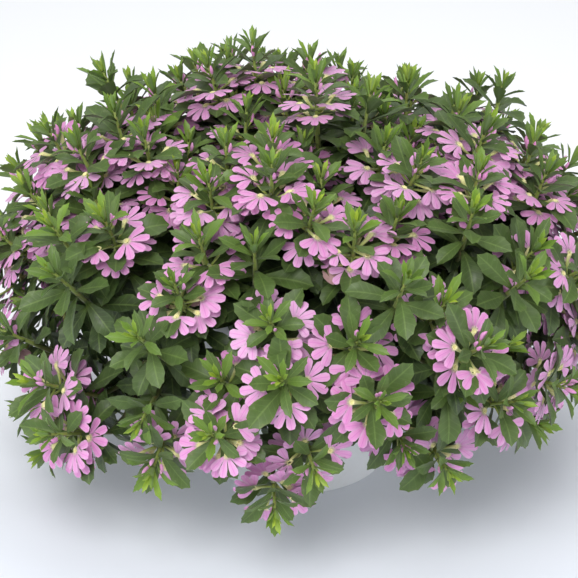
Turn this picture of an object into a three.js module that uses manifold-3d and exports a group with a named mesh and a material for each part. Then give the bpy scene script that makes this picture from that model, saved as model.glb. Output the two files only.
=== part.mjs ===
// A potted fan flower: a white plastic pot of soil with a dome of leafy stems and pink fan blooms.
// Millimetres, +Z up. The origin is the centre of the pot's flat base.
import * as THREE from "three";
import { mergeVertices } from "three/addons/utils/BufferGeometryUtils.js";
import Module from "manifold-3d";

const wasm = await Module();
wasm.setup();
const { Manifold } = wasm;

// The pot: a round nursery pot with a rim band and a ring of drain holes
const POT_HEIGHT = 140;
const POT_BASE_RADIUS = 62;
const POT_RIM_RADIUS = 85;
const POT_WALL = 2;
const POT_FLOOR = 2.5;
const RIM_BAND = 16;
const RIM_STEP = 2;
const POT_SIDES = 24;
const DRAIN_HOLES = 6;
const DRAIN_RADIUS = 5;
const DRAIN_CIRCLE = 42;
const DRAIN_SIDES = 6;

// The soil fills the pot to just under its rim
const SOIL_TOP = 122;
const SOIL_DOME = 4;
const SOIL_CRUMB = 1.6;
const GAP = 0.35;

// The shoots: a three-sided stem that carries a leaf on some of its faces
const STEM_RADIUS = 2.1;
const TIP_RADIUS = 1.5;
const STEM_SIDES = 3;
const STEM_TWIST = 0.42;
const STEM_STEP = 95;
const HOLE_DEPTH = 12;
const HOLE_SIDES = 4;
const BRANCH_ARCH = { rise: 18, lean: 24 };
const LEAFY_LENGTH = 36;
const LEAF_ROOT = 2.6;

// Leaves of one shoot from the tip down: height above the bloom ring, length, width, the lean of the
// blade from the stem's axis in degrees, and the faces of the stem that carry one
const LEAF_ROWS = [
  { height: 18, length: 25, width: 8.5, lean: 20, faces: [0, 1, 2] },
  { height: 15.4, length: 29, width: 10.5, lean: 44, faces: [0, 1, 2] },
  { height: -14, length: 34, width: 15, lean: 90, faces: [0, 1, 2] },
];
const YOUNG_ROWS = 2;
const TOOTH_AT = 0.7;
const NOTCH_AT = 0.77;
const NOTCH_WIDTH = 0.64;
const LEAF_CHANNEL = 1.4;
const LEAF_DROOP = 2.5;
const SHORTER = [1, 0.88, 0.76, 0.64, 0.52];
const NEIGHBOUR_CLEARANCE = 0.5;
const STEM_CLEARANCE = 6.5;
const BLOOM_CLEARANCE = { height: 8, reach: 33 };

// The blooms round one shoot: fans of petals, each spread to the outer side of its throat
const FANS_OF_A_FEW = { count: 4, throat: 13, spread: 68 };
const FANS_OF_MANY = { count: 5, throat: 13.5, spread: 54 };
const SHARE_OF_MANY = 0.05;
const PETALS = 4;
const PETAL_LENGTH = 15;
const PETAL_HALF_WIDTH = 3.3;
const PETAL_NOTCH = 6.5;
const THROAT_THICKNESS = 2.4;
const THROAT_RISE = 3;
const THROAT_BACK = { radius: 3.8, angle: 150 };
const TUBE_DROP = 5;
const JOINT = { inner: 0.72, outer: 1.25, thickness: 1.4 };

// The crown: tiers of heads, each with its distance from the pot's axis, its height above the floor, the
// lean of its shoots from upright, the bearing of its first head in degrees and the draws that it takes.
// The young shoots, which fill the top between the others, have leaves at their tip alone
const TIERS = {
  top: { heads: 5, radius: 39, height: 256, lean: 3, first: 1, draws: 2207 },
  upper: { heads: 5, radius: 87, height: 247, lean: 9, first: 23, draws: 2004 },
  shoulder: { heads: 10, radius: 146, height: 215, lean: 19, first: 28, draws: 2932 },
  side: { heads: 13, radius: 177, height: 188, lean: 38, first: 20, draws: 1694 },
  skirt: { heads: 13, radius: 199, height: 124, lean: 68, first: 4, draws: 2409 },
  fringe: { heads: 13, radius: 180, height: 74, lean: 108, first: 19, draws: 81, uneven: 2 },
  crest: { heads: 5, radius: 72, height: 232, lean: 6, first: 61, draws: 3301, young: true },
  brow: { heads: 5, radius: 120, height: 230, lean: 14, first: 47, draws: 280, young: true },
};
// The low shoots near this bearing grow higher, which leaves the foot of the pot in sight there
const PARTING = { bearing: 284, spread: 24, lift: 30, below: 150 };
const TALL_SHARE = 0.3;
const TALL_RISE = 15;
const HEADS_IN_BLOOM = 35;
const RING_SPACING = 50;
const BEARING_SPREAD = 9;
const RADIUS_SPREAD = 14;
const HEIGHT_SPREAD = 24;
const LEAN_SPREAD = 16;

// Where the stems stand in the soil and where they fork
const INNER_STEMS = 5;
const INNER_ROOT_RADIUS = 17;
const INNER_FORK = { radius: 36, height: 172 };
const OUTER_STEMS = 13;
const OUTER_ROOT_RADIUS = 50;
const OUTER_FORK = { radius: 70, height: 154 };

const POT_COLOUR = 0xe9ebec;
const SOIL_COLOUR = 0x3a2a20;
const LEAF_COLOUR = 0x4c7f33;
const PETAL_COLOUR = 0xe39bd2;

const UP = new THREE.Vector3(0, 0, 1);
const radians = THREE.MathUtils.degToRad;

// A repeatable draw between 0 and 1 for item n of series k
function draw(n, k) {
  const s = Math.sin(n * 12.9898 + k * 78.233) * 43758.5453;
  return s - Math.floor(s);
}

// The same draw centred on nothing, from -spread/2 to +spread/2
function wander(n, k, spread) {
  return (draw(n, k) - 0.5) * spread;
}

function atBearing(radius, bearing, height) {
  const turn = radians(bearing);
  return new THREE.Vector3(radius * Math.cos(turn), radius * Math.sin(turn), height);
}

// A manifold-3d solid from a three.js geometry
function solidOf(geometry) {
  const bare = new THREE.BufferGeometry();
  bare.setAttribute("position", geometry.getAttribute("position"));
  bare.setIndex(geometry.getIndex());
  const merged = mergeVertices(bare, 1e-4);
  const mesh = new wasm.Mesh({
    numProp: 3,
    vertProperties: merged.getAttribute("position").array,
    triVerts: new Uint32Array(merged.getIndex().array),
  });
  return new Manifold(mesh);
}

// A manifold-3d solid from a list of points and a list of faces
function solidFrom(points, faces) {
  const geometry = new THREE.BufferGeometry().setFromPoints(points);
  geometry.setIndex(faces.flat());
  return solidOf(geometry);
}

function geometryOf(solid) {
  const mesh = solid.getMesh();
  const geometry = new THREE.BufferGeometry();
  geometry.setAttribute("position", new THREE.BufferAttribute(mesh.vertProperties, 3));
  geometry.setIndex(new THREE.BufferAttribute(mesh.triVerts, 1));
  return geometry;
}

function cylinder(radius, bottom, top, sides) {
  const geometry = new THREE.CylinderGeometry(radius, radius, top - bottom, sides);
  geometry.rotateX(Math.PI / 2);
  geometry.translate(0, 0, (top + bottom) / 2);
  return solidOf(geometry);
}

// Outer radius of the pot's wall at a height
function potRadius(height) {
  const share = height / (POT_HEIGHT - RIM_BAND);
  return POT_BASE_RADIUS + (POT_RIM_RADIUS - RIM_STEP - POT_BASE_RADIUS) * Math.min(share, 1);
}

function makePot() {
  const bandBottom = POT_HEIGHT - RIM_BAND;
  const innerFloor = potRadius(POT_FLOOR) - POT_WALL;
  const profile = [
    [0, 0],
    [POT_BASE_RADIUS, 0],
    [potRadius(bandBottom), bandBottom],
    [POT_RIM_RADIUS, bandBottom],
    [POT_RIM_RADIUS, POT_HEIGHT],
    [POT_RIM_RADIUS - POT_WALL - RIM_STEP / 2, POT_HEIGHT],
    [potRadius(bandBottom) - POT_WALL, bandBottom - 1],
    [innerFloor, POT_FLOOR],
    [0, POT_FLOOR],
  ].map(([radius, height]) => new THREE.Vector2(radius, height));
  const turned = new THREE.LatheGeometry(profile, POT_SIDES);
  turned.rotateX(Math.PI / 2);
  const shell = solidOf(turned);
  const holes = [];
  for (let i = 0; i < DRAIN_HOLES; i += 1) {
    const at = atBearing(DRAIN_CIRCLE, (360 * i) / DRAIN_HOLES, 0);
    holes.push(cylinder(DRAIN_RADIUS, -1, POT_FLOOR + 1, DRAIN_SIDES).translate(at.toArray()));
  }
  return shell.subtract(Manifold.union(holes));
}

// The soil: a filled frustum with a crumbly domed top, and a plain hole for each stem
function makeSoil(roots) {
  const rings = [1, 0.62];
  const bottomRadius = potRadius(POT_FLOOR) - POT_WALL - GAP;
  const topRadius = potRadius(SOIL_TOP) - POT_WALL - GAP;
  const points = [];
  const faces = [];
  const ringOf = (radius, height) => {
    const first = points.length;
    for (let i = 0; i < POT_SIDES; i += 1) {
      points.push(atBearing(radius, (360 * i) / POT_SIDES, height(i)));
    }
    return first;
  };
  const join = (lower, upper) => {
    for (let i = 0; i < POT_SIDES; i += 1) {
      const next = (i + 1) % POT_SIDES;
      faces.push([lower + i, lower + next, upper + next]);
      faces.push([lower + i, upper + next, upper + i]);
    }
  };
  let last = ringOf(bottomRadius, () => POT_FLOOR + GAP);
  const base = last;
  rings.forEach((share, row) => {
    const dome = SOIL_DOME * (1 - share * share);
    const height = (i) => SOIL_TOP + dome + wander(i, row + 40, row ? 2 * SOIL_CRUMB : 0);
    const ring = ringOf(topRadius * share, height);
    join(last, ring);
    last = ring;
  });
  points.push(new THREE.Vector3(0, 0, POT_FLOOR + GAP));
  points.push(new THREE.Vector3(0, 0, SOIL_TOP + SOIL_DOME));
  const centre = points.length - 1;
  for (let i = 0; i < POT_SIDES; i += 1) {
    const next = (i + 1) % POT_SIDES;
    faces.push([base + next, base + i, centre - 1]);
    faces.push([last + i, last + next, centre]);
  }
  const holeRadius = (STEM_RADIUS + GAP) / Math.cos(Math.PI / HOLE_SIDES);
  const bottom = SOIL_TOP - HOLE_DEPTH - GAP;
  const holes = roots.map((root) =>
    cylinder(holeRadius, bottom, SOIL_TOP + 12, HOLE_SIDES).translate([root.x, root.y, 0]),
  );
  return solidFrom(points, faces).subtract(Manifold.union(holes));
}

// The heads of one tier, each with its place and the direction of its shoot
// How much higher a low shoot grows where the crown parts
function liftAt(bearing, tier) {
  const aside = Math.abs(bearing - PARTING.bearing) / PARTING.spread;
  return tier.height < PARTING.below ? PARTING.lift * Math.max(0, 1 - aside) : 0;
}

function headsOf(tier) {
  const series = 10 * tier.draws;
  const heads = [];
  for (let i = 0; i < tier.heads; i += 1) {
    const step = 360 / tier.heads;
    const bearing = tier.first + step * i + wander(i, series, BEARING_SPREAD);
    const radius = tier.radius + wander(i, series + 1, RADIUS_SPREAD);
    const tall = draw(i, series + 5) < TALL_SHARE ? TALL_RISE * Math.cos(radians(tier.lean)) : 0;
    const uneven = HEIGHT_SPREAD * (tier.uneven ?? 1);
    const height = tier.height + tall + wander(i, series + 2, uneven) + liftAt(bearing, tier);
    const lean = radians(tier.lean + wander(i, series + 3, LEAN_SPREAD));
    const outward = atBearing(1, bearing + wander(i, series + 4, 3 * BEARING_SPREAD), 0);
    const axis = UP.clone().multiplyScalar(Math.cos(lean));
    axis.addScaledVector(outward, Math.sin(lean));
    const leaves = tier.young ? LEAF_ROWS.slice(0, YOUNG_ROWS) : LEAF_ROWS;
    heads.push({ bearing, centre: atBearing(radius, bearing, height), axis, leaves });
  }
  return heads;
}

// Points of a stem from its root in the soil, by way of its fork, to the head
function routeTo(head, root, fork, viaRoot) {
  const leafy = head.centre.clone().addScaledVector(head.axis, -LEAFY_LENGTH);
  const before = leafy.clone().addScaledVector(head.axis, -14);
  const middle = fork.clone().lerp(before, 0.55);
  middle.z += BRANCH_ARCH.rise - BRANCH_ARCH.lean * head.axis.z;
  const branch = [fork, middle, leafy, head.centre];
  if (!viaRoot) {
    return branch;
  }
  const foot = root.clone().setZ(SOIL_TOP - HOLE_DEPTH);
  const neck = root.clone().setZ(SOIL_TOP + 14);
  return [foot, neck, ...branch];
}

// Points along a route up to the foot of its leafy end, among them every point of the route itself
function pointsAlong(route) {
  const curve = new THREE.CatmullRomCurve3(route);
  const spans = route.length - 1;
  const points = [];
  for (let span = 0; span < spans - 1; span += 1) {
    const steps = Math.max(1, Math.round(route[span].distanceTo(route[span + 1]) / STEM_STEP));
    for (let step = 0; step < steps; step += 1) {
      points.push(curve.getPoint((span + step / steps) / spans));
    }
  }
  points.push(route.at(-2).clone());
  return points;
}

// A leafy stem: its root, the heads that it carries and the route to each
function stemFor(heads, rootRadius, fork) {
  const middle = new THREE.Vector3();
  heads.forEach((head) => middle.add(atBearing(1, head.bearing, 0)));
  const bearing = THREE.MathUtils.radToDeg(Math.atan2(middle.y, middle.x));
  const root = atBearing(rootRadius, bearing, SOIL_TOP);
  const crotch = atBearing(fork.radius, bearing, fork.height);
  const routes = heads.map((head, i) => routeTo(head, root, crotch, i === 0));
  return { heads, root, routes };
}

function planStems() {
  const heads = {};
  Object.entries(TIERS).forEach(([name, tier]) => {
    heads[name] = headsOf(tier);
  });
  const stems = [];
  for (let i = 0; i < INNER_STEMS; i += 1) {
    const own = [heads.top[i], heads.upper[i], ...heads.shoulder.slice(2 * i, 2 * i + 2)];
    own.push(heads.crest[i], heads.brow[i]);
    stems.push(stemFor(own, INNER_ROOT_RADIUS, INNER_FORK));
  }
  for (let i = 0; i < OUTER_STEMS; i += 1) {
    const own = [heads.side[i], heads.skirt[i], heads.fringe[i]];
    stems.push(stemFor(own, OUTER_ROOT_RADIUS, OUTER_FORK));
  }
  return stems;
}

const stems = planStems();
const allHeads = stems.flatMap((stem) => stem.heads);
allHeads.forEach((head) => {
  head.site = head.centre.clone().addScaledVector(head.axis, -8);
});

// Marks the heads in bloom: heads are drawn one by one, and one near a ring of blooms stays leafy
function chooseBlooms() {
  const drawn = allHeads.map((head, i) => ({ head, turn: draw(i, 95) }));
  drawn.sort((a, b) => a.turn - b.turn);
  const chosen = [];
  drawn.forEach(({ head }) => {
    const apart = chosen.every((other) => other.centre.distanceTo(head.centre) > RING_SPACING);
    head.inBloom = apart && chosen.length < HEADS_IN_BLOOM;
    if (head.inBloom) {
      chosen.push(head);
    }
  });
}

chooseBlooms();

// Whether a point is well away from the blooms round a head
function isOffBlooms(point, head) {
  const from = point.clone().sub(head.centre);
  const height = from.dot(head.axis) - THROAT_RISE;
  const reach = from.projectOnPlane(head.axis).length();
  return Math.abs(height) > BLOOM_CLEARANCE.height || reach > BLOOM_CLEARANCE.reach;
}

// Whether points keep to their own head's side, off the blooms of the others, and off every other stem
function areClear(points, head, stem) {
  const offHeads = allHeads.every((other) => {
    if (other === head) {
      return true;
    }
    const away = other.site.clone().sub(head.site).normalize();
    const middle = other.site.clone().add(head.site).multiplyScalar(0.5);
    return points.every((point) => {
      const onOwnSide = point.clone().sub(middle).dot(away) < -NEIGHBOUR_CLEARANCE;
      return onOwnSide && (!other.inBloom || isOffBlooms(point, other));
    });
  });
  if (!offHeads) {
    return false;
  }
  const nearest = new THREE.Vector3();
  const isOffLine = (line, point) => {
    line.closestPointToPoint(point, true, nearest);
    return nearest.distanceTo(point) > STEM_CLEARANCE;
  };
  return stems.every((other) => {
    return other === stem || other.lines.every((line) => points.every((p) => isOffLine(line, p)));
  });
}

// Straight stretches along the routes of a stem, out to its tips
function linesOf(stem) {
  return stem.heads.flatMap((head, i) => {
    const points = [...pointsAlong(stem.routes[i]), head.centre];
    return points.slice(1).map((point, j) => new THREE.Line3(points[j], point));
  });
}
stems.forEach((stem) => {
  stem.lines = linesOf(stem);
});

// The outline of a leaf beyond its root: teeth, notches and tip, from its left side to its right
function leafOutline(root, outward, along, row, length) {
  const lean = radians(row.lean);
  const rib = outward.clone().multiplyScalar(Math.sin(lean)).addScaledVector(along, Math.cos(lean));
  const side = new THREE.Vector3().crossVectors(along, outward).normalize();
  const raised = new THREE.Vector3().crossVectors(side, rib).negate();
  const at = (share, halfWidth, lift) => {
    const point = root.clone().addScaledVector(rib, length * share);
    return point.addScaledVector(side, halfWidth).addScaledVector(raised, lift);
  };
  const half = row.width / 2;
  return [
    at(TOOTH_AT, -half, LEAF_CHANNEL),
    at(NOTCH_AT, -half * NOTCH_WIDTH, LEAF_CHANNEL / 2),
    at(1, 0, -LEAF_DROOP),
    at(NOTCH_AT, half * NOTCH_WIDTH, LEAF_CHANNEL / 2),
    at(TOOTH_AT, half, LEAF_CHANNEL),
  ];
}

// A leafy shoot as one closed solid: a three-sided tube along its route with
// leaves drawn out of its faces
function makeShoot(route, head, stem) {
  const rings = pointsAlong(route).map((at) => ({ at }));
  const onAxis = (height) => head.centre.clone().addScaledVector(head.axis, height);
  [...head.leaves].reverse().forEach((row) => {
    const last = rings.at(-1);
    if (last.height === undefined || row.height - last.height > 0.1) {
      rings.push({ at: onAxis(row.height), height: row.height });
    }
    rings.at(-1).row = row;
    rings.push({ at: onAxis(row.height + LEAF_ROOT), height: row.height + LEAF_ROOT });
  });
  const points = [];
  const faces = [];
  let across = new THREE.Vector3(1, 0, 0);
  let turn = 2 * Math.PI * draw(allHeads.indexOf(head), 90);
  rings.forEach((ring, i) => {
    const before = rings[Math.max(i - 1, 0)].at;
    const after = rings[Math.min(i + 1, rings.length - 1)].at;
    ring.along = after.clone().sub(before).normalize();
    across = across.clone().addScaledVector(ring.along, -across.dot(ring.along)).normalize();
    const other = new THREE.Vector3().crossVectors(ring.along, across);
    const radius = i === rings.length - 1 ? TIP_RADIUS : STEM_RADIUS;
    turn += ring.height === undefined ? 0 : STEM_TWIST;
    for (let k = 0; k < STEM_SIDES; k += 1) {
      const angle = turn + (2 * Math.PI * k) / STEM_SIDES;
      const corner = ring.at.clone().addScaledVector(across, radius * Math.cos(angle));
      points.push(corner.addScaledVector(other, radius * Math.sin(angle)));
    }
  });
  // The longest outline of the ring's leaf that keeps clear of its neighbours
  const clearLeaf = (corners, ring) => {
    const root = new THREE.Vector3();
    corners.forEach((corner) => root.addScaledVector(points[corner], 0.25));
    const outward = root.clone().sub(ring.at);
    outward.addScaledVector(ring.along, -outward.dot(ring.along)).normalize();
    for (const share of SHORTER) {
      const outline = leafOutline(root, outward, ring.along, ring.row, ring.row.length * share);
      const ribPoints = [0.3, 0.6].map((u) => root.clone().lerp(outline[2], u));
      if (areClear([...outline, ...ribPoints], head, stem)) {
        return outline;
      }
    }
    return null;
  };
  rings.slice(0, -1).forEach((ring, i) => {
    for (let k = 0; k < STEM_SIDES; k += 1) {
      const next = (k + 1) % STEM_SIDES;
      const [a, b] = [STEM_SIDES * i + k, STEM_SIDES * i + next];
      const [c, d] = [b + STEM_SIDES, a + STEM_SIDES];
      const outline = ring.row && ring.row.faces.includes(k) ? clearLeaf([a, b, c, d], ring) : null;
      if (!outline) {
        faces.push([a, b, c], [a, c, d]);
        continue;
      }
      const left = points.length;
      points.push(...outline);
      const [leftNotch, tip, rightNotch, right] = [left + 1, left + 2, left + 3, left + 4];
      faces.push([d, a, left], [b, c, right]);
      faces.push([d, left, leftNotch], [d, leftNotch, tip], [c, d, tip]);
      faces.push([c, tip, rightNotch], [c, rightNotch, right]);
      faces.push([b, right, rightNotch], [b, rightNotch, tip], [a, b, tip]);
      faces.push([a, tip, leftNotch], [a, leftNotch, left]);
    }
  });
  const top = STEM_SIDES * (rings.length - 1);
  faces.push([top, top + 1, top + 2], [0, 2, 1]);
  return solidFrom(points, faces);
}

// The blooms of one head about the origin: fans round the shoot, joined where their side petals meet
function makeBlooms(index) {
  const { count, throat, spread } = draw(index, 91) < SHARE_OF_MANY ? FANS_OF_MANY : FANS_OF_A_FEW;
  const points = [];
  const faces = [];
  const add = (radius, bearing, height) => points.push(atBearing(radius, bearing, height)) - 1;
  const joints = [];
  for (let i = 0; i < count; i += 1) {
    const bearing = (360 * (i + 0.5)) / count;
    const middle = add(throat, bearing, THROAT_RISE + JOINT.thickness / 2);
    joints.push({
      inner: add(throat * JOINT.inner, bearing, THROAT_RISE),
      upper: middle,
      lower: add(throat, bearing, THROAT_RISE - JOINT.thickness / 2),
      outer: add(throat * JOINT.outer, bearing, THROAT_RISE),
    });
  }
  for (let i = 0; i < count; i += 1) {
    const bearing = (360 * i) / count;
    const pitch = radians(wander(index + 60 * i, 93, 24));
    const aboutThroat = (radius, angle, lift) => {
      const point = atBearing(radius, angle, 0);
      point.z = THROAT_RISE + lift + point.x * Math.sin(pitch);
      point.x += throat;
      return points.push(point.applyAxisAngle(UP, radians(bearing))) - 1;
    };
    const rim = [];
    const step = (2 * spread) / (PETALS - 1);
    const halfAngle = THREE.MathUtils.radToDeg(PETAL_HALF_WIDTH / PETAL_LENGTH);
    for (let k = 0; k < PETALS; k += 1) {
      const angle = -spread + step * k;
      if (k > 0) {
        rim.push(aboutThroat(PETAL_NOTCH, angle - step / 2, 0.4));
      }
      rim.push(aboutThroat(PETAL_LENGTH, angle - halfAngle, -0.6));
      rim.push(aboutThroat(PETAL_LENGTH, angle + halfAngle, -0.6));
    }
    const [before, after] = [joints[(i + count - 1) % count], joints[i]];
    const back = [
      aboutThroat(THROAT_BACK.radius, THROAT_BACK.angle, 0),
      add(STEM_RADIUS + GAP, bearing, THROAT_RISE - TUBE_DROP),
      aboutThroat(THROAT_BACK.radius, -THROAT_BACK.angle, 0),
    ];
    const upper = aboutThroat(0, 0, THROAT_THICKNESS / 2);
    const lower = aboutThroat(0, 0, -THROAT_THICKNESS / 2);
    const edge = (face) => [
      before[face], before.outer, ...rim, after.outer, after[face], after.inner, ...back, before.inner,
    ];
    const over = edge("upper");
    const under = edge("lower");
    over.forEach((point, k) => {
      const next = (k + 1) % over.length;
      faces.push([over[k], over[next], upper], [under[next], under[k], lower]);
    });
  }
  return solidFrom(points, faces);
}

// Blooms in their place on a head
function placeBlooms(head, index) {
  const turned = new THREE.Quaternion().setFromUnitVectors(UP, head.axis);
  turned.multiply(new THREE.Quaternion().setFromAxisAngle(UP, 2 * Math.PI * draw(index, 98)));
  const place = new THREE.Matrix4().compose(head.centre, turned, new THREE.Vector3(1, 1, 1));
  return makeBlooms(index).transform(place.elements);
}

function named(name, solid, colour, roughness) {
  const material = new THREE.MeshStandardMaterial({ color: colour, roughness, metalness: 0 });
  const mesh = new THREE.Mesh(geometryOf(solid), material);
  mesh.name = name;
  return mesh;
}

const plant = new THREE.Group();
plant.name = "potted_fan_flower";
plant.add(named("pot", makePot(), POT_COLOUR, 0.45));
plant.add(named("soil", makeSoil(stems.map((stem) => stem.root)), SOIL_COLOUR, 0.95));
stems.forEach((stem, i) => {
  const shoots = stem.heads.map((head, j) => makeShoot(stem.routes[j], head, stem));
  plant.add(named(`leafy_stem_${i + 1}`, Manifold.union(shoots).simplify(0.02), LEAF_COLOUR, 0.6));
});
allHeads
  .filter((head) => head.inBloom)
  .forEach((head, i) => {
    const blooms = placeBlooms(head, allHeads.indexOf(head));
    plant.add(named(`bloom_ring_${i + 1}`, blooms, PETAL_COLOUR, 0.55));
  });

export default plant;
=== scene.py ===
import math

import bpy
import bmesh
import numpy as np
from mathutils import Matrix, Quaternion, Vector


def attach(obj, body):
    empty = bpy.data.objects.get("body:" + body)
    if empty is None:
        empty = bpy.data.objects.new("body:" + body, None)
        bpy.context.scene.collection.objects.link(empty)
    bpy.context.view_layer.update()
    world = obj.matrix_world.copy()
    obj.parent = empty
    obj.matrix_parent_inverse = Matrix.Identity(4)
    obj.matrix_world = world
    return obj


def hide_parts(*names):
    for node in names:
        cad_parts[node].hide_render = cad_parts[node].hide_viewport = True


# A potted fan flower: a white pot almost hidden under a dome of leafy shoots ringed with pink fans.
# Plans are in millimetres, as the CAD model's are; meshes are in metres.
MM = 0.001
UP = Vector((0, 0, 1))

# The pot and its soil
POT_HEIGHT = 140
POT_BASE_RADIUS = 62
POT_RIM_RADIUS = 85
POT_WALL = 2
POT_FLOOR = 2.5
RIM_BAND = 16
RIM_STEP = 2
POT_SIDES = 24
DRAIN_HOLES = 6
DRAIN_RADIUS = 5
DRAIN_CIRCLE = 42
SOIL_TOP = 122
HOLE_DEPTH = 12

# The shoots: their stem, then their leaves, which open from the tip down to the lowest one
STEM_RADIUS = 1.6
STEM_SIDES = 6
FOOT_SWELL = 0.5
TIP_RADII = [1.35, 1.1, 0.9]
STEM_STEP = 14
LEAFY_LENGTH = 36
SHOOT_RISE = 19
BRANCH_ARCH = dict(rise=18, lean=24)
NECK_RISE = 14
GOLDEN_TURN = math.radians(137.5)
SHOOT_LEAVES = 27
LOWEST_LEAF = -35
OLD_LEAF_STEP = 7.5
OLD_LEAVES = 14

# The crown's tiers: distance of the heads from the pot's axis, height, lean, first bearing and draws
TIERS = {
    "top": dict(heads=5, radius=39, height=256, lean=3, first=1, draws=2207),
    "upper": dict(heads=5, radius=87, height=247, lean=9, first=23, draws=2004),
    "shoulder": dict(heads=10, radius=146, height=215, lean=19, first=28, draws=2932),
    "side": dict(heads=13, radius=177, height=188, lean=38, first=20, draws=1694),
    "skirt": dict(heads=13, radius=199, height=124, lean=68, first=4, draws=2409),
    "fringe": dict(heads=13, radius=180, height=74, lean=108, first=19, draws=81, uneven=2),
    "crest": dict(heads=5, radius=72, height=232, lean=6, first=61, draws=3301),
    "brow": dict(heads=5, radius=120, height=230, lean=14, first=47, draws=280),
}
# A side shoot grows beside each of those heads, where the crown is emptiest, and a second beside some
SIDE_REACH = 31
SIDE_DROP = 9
SIDE_LEAN = 12
SIDE_TALL_SHARE = 0.25
SIDE_TALL_RISE = 22
SIDE_BEARINGS = 12
SIDE_FORK = 70
SECOND_SHARE = 0.25
# Beside a head whose axis rises less steeply than this, the side shoot grows as high up as it can
LOW_AXIS = 0.45
# The low shoots near this bearing grow higher, which leaves the foot of the pot in sight there
PARTING = dict(bearing=284, spread=24, lift=30, below=150)
# What the heads of a tier differ by
TALL_SHARE = 0.3
TALL_RISE = 15
BEARING_SPREAD = 9
RADIUS_SPREAD = 14
HEIGHT_SPREAD = 24
LEAN_SPREAD = 16

# Where the stems stand in the soil and where they fork
INNER_STEMS = 5
INNER_ROOT_RADIUS = 17
INNER_FORK = dict(radius=36, height=172)
OUTER_STEMS = 13
OUTER_ROOT_RADIUS = 50
OUTER_FORK = dict(radius=70, height=154)

# The rings of blooms: in the places of the CAD model's, and round most of the other heads
FANS_OF_A_FEW = dict(count=4, throat=13)
FANS_OF_MANY = dict(count=5, throat=13.5)
SHARE_OF_MANY = 0.05
THROAT_RISE = 3
HEADS_IN_BLOOM = 35
RING_SPACING = 50
SHARE_IN_BLOOM_BETWEEN = 0.8
LOWER_SHARE = 0.85
FADED_SHARE = 0.35
EXTRA_SHARE = 0.5
SIZE_SPREAD = 0.06

# The first seed of each kind of draw
LEAF_SEED = 1000
BLOOM_SEED = 2000
PIECE_SEEDS = dict(stem=10, side_shoots=40, fans=70, side_fans=120)

# Places of the shapes in their collections: leaves by age, and blooms from a bud to a faded fan
YOUNG, SLENDER, GROWN, OLD = (0, 1, 2), (3, 4, 5), (6, 7, 8, 9), (10, 11)
BUD, FANS, FADED = 0, (1, 2, 3, 4), 5

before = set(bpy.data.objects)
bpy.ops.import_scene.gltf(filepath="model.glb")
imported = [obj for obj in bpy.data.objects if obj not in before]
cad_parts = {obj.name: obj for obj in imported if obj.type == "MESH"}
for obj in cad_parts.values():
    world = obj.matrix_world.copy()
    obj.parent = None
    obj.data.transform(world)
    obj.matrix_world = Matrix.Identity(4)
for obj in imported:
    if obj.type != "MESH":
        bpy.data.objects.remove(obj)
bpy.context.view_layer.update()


def draw(n, k):
    """A repeatable draw between 0 and 1 for item n of series k, as in the CAD plan."""
    s = math.sin(n * 12.9898 + k * 78.233) * 43758.5453
    return s - math.floor(s)


def wander(n, k, spread):
    """The same draw centred on nothing, from -spread/2 to +spread/2."""
    return (draw(n, k) - 0.5) * spread


def at_bearing(radius, bearing, height):
    turn = math.radians(bearing)
    return Vector((radius * math.cos(turn), radius * math.sin(turn), height))


def lift_at(bearing, tier):
    """How much higher a low shoot grows where the crown parts."""
    aside = abs(bearing - PARTING["bearing"]) / PARTING["spread"]
    return PARTING["lift"] * max(0, 1 - aside) if tier["height"] < PARTING["below"] else 0


def heads_of(tier):
    """The heads of one tier: the places where a ring of blooms can stand, and their shoots' direction."""
    series = 10 * tier["draws"]
    heads = []
    for i in range(tier["heads"]):
        bearing = tier["first"] + 360 / tier["heads"] * i + wander(i, series, BEARING_SPREAD)
        radius = tier["radius"] + wander(i, series + 1, RADIUS_SPREAD)
        tall = TALL_RISE * math.cos(math.radians(tier["lean"])) if draw(i, series + 5) < TALL_SHARE else 0
        uneven = HEIGHT_SPREAD * tier.get("uneven", 1)
        height = tier["height"] + tall + wander(i, series + 2, uneven) + lift_at(bearing, tier)
        lean = math.radians(tier["lean"] + wander(i, series + 3, LEAN_SPREAD))
        outward = at_bearing(1, bearing + wander(i, series + 4, 3 * BEARING_SPREAD), 0)
        axis = UP * math.cos(lean) + outward * math.sin(lean)
        heads.append(dict(bearing=bearing, centre=at_bearing(radius, bearing, height), axis=axis))
    return heads


def route_to(head, stem, via_root):
    """Points that a shoot grows through, from the soil or from its stem's fork to the head."""
    leafy = head["centre"] - head["axis"] * LEAFY_LENGTH
    before = leafy - head["axis"] * NECK_RISE
    middle = stem["fork"].lerp(before, 0.55)
    middle.z += BRANCH_ARCH["rise"] - BRANCH_ARCH["lean"] * head["axis"].z
    branch = [stem["fork"], middle, leafy, head["centre"]]
    if not via_root:
        return branch
    foot = stem["root"].copy()
    foot.z = SOIL_TOP - HOLE_DEPTH
    neck = stem["root"].copy()
    neck.z = SOIL_TOP + NECK_RISE
    return [foot, neck] + branch


def stem_for(heads, root_radius, fork):
    """A leafy stem: where it roots and forks, and the route to each of its heads."""
    middle = sum((at_bearing(1, head["bearing"], 0) for head in heads), Vector())
    bearing = math.degrees(math.atan2(middle.y, middle.x))
    stem = dict(
        heads=heads,
        root=at_bearing(root_radius, bearing, SOIL_TOP),
        fork=at_bearing(fork["radius"], bearing, fork["height"]),
    )
    for i, head in enumerate(heads):
        head["route"] = route_to(head, stem, i == 0)
    return stem


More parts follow.
